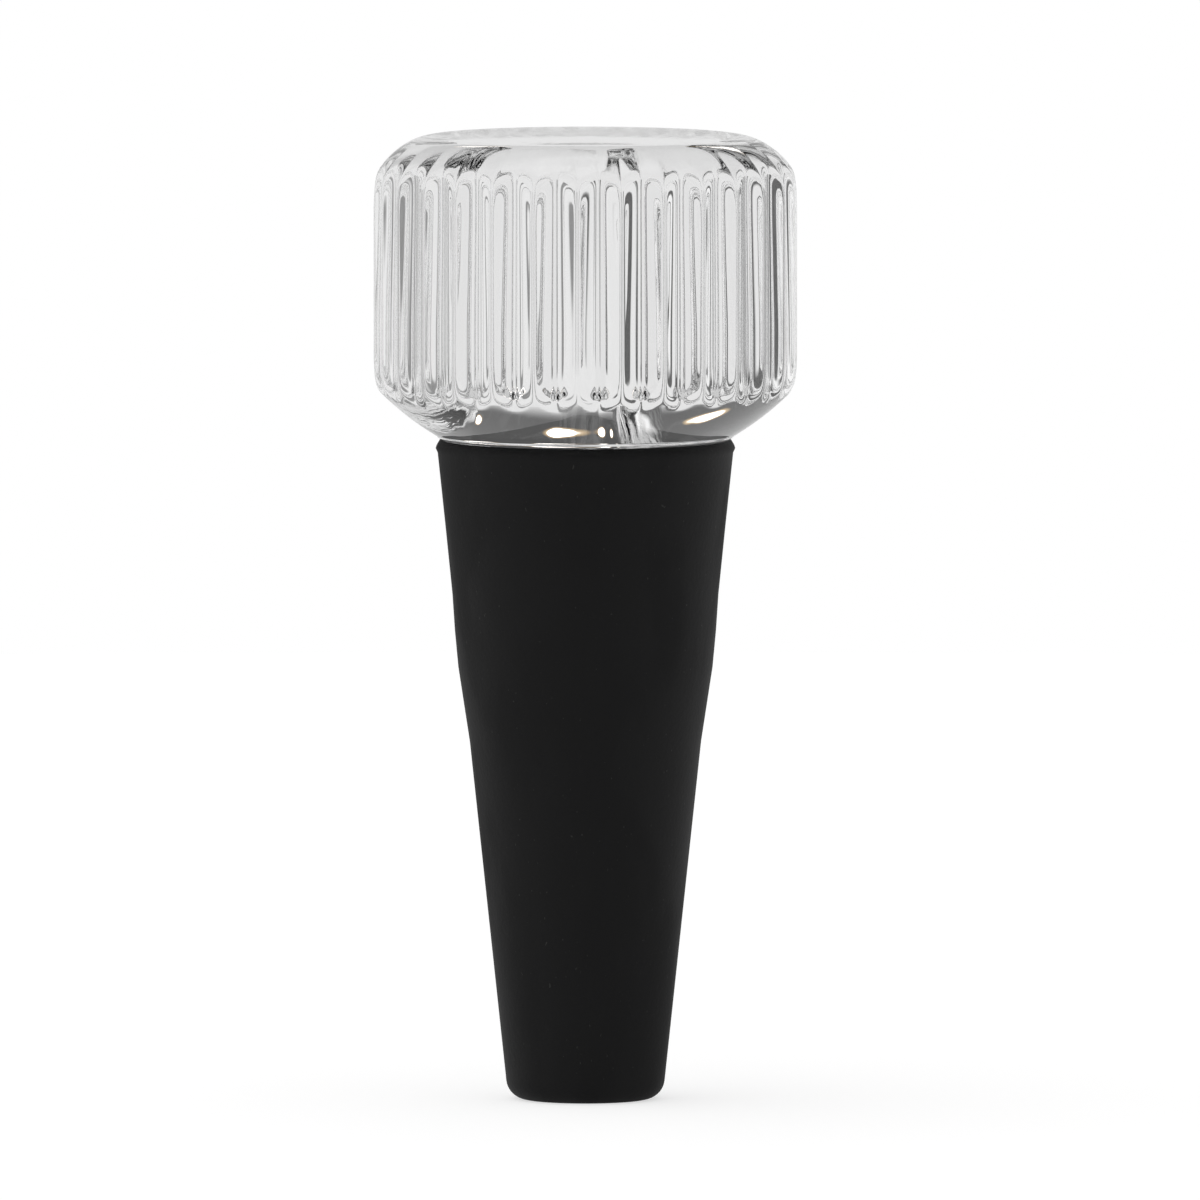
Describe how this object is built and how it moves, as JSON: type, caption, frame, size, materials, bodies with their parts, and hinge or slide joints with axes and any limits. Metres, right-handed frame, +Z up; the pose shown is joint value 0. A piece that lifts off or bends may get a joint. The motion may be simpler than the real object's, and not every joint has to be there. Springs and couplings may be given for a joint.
{
  "type": "wine stopper",
  "caption": "Reusable wine stopper with a clear fluted glass head on a long tapered black silicone plug with a rounded foot.",
  "frame": {"origin": "centre of the plug's flat foot, where the stopper stands", "axes": "+Z up the stopper's axis, from the foot to the flat top of the glass head; the picture looks along +Y"},
  "size_m": [0.035, 0.035, 0.0797],
  "materials": {
    "clear_glass": "clear pressed glass, fire-polished flutes, polished flat top",
    "black_silicone": "matt moulded silicone"
  },
  "bodies": {
    "root": {"glass_head": "clear_glass", "silicone_plug": "black_silicone"}
  },
  "joints": []
}
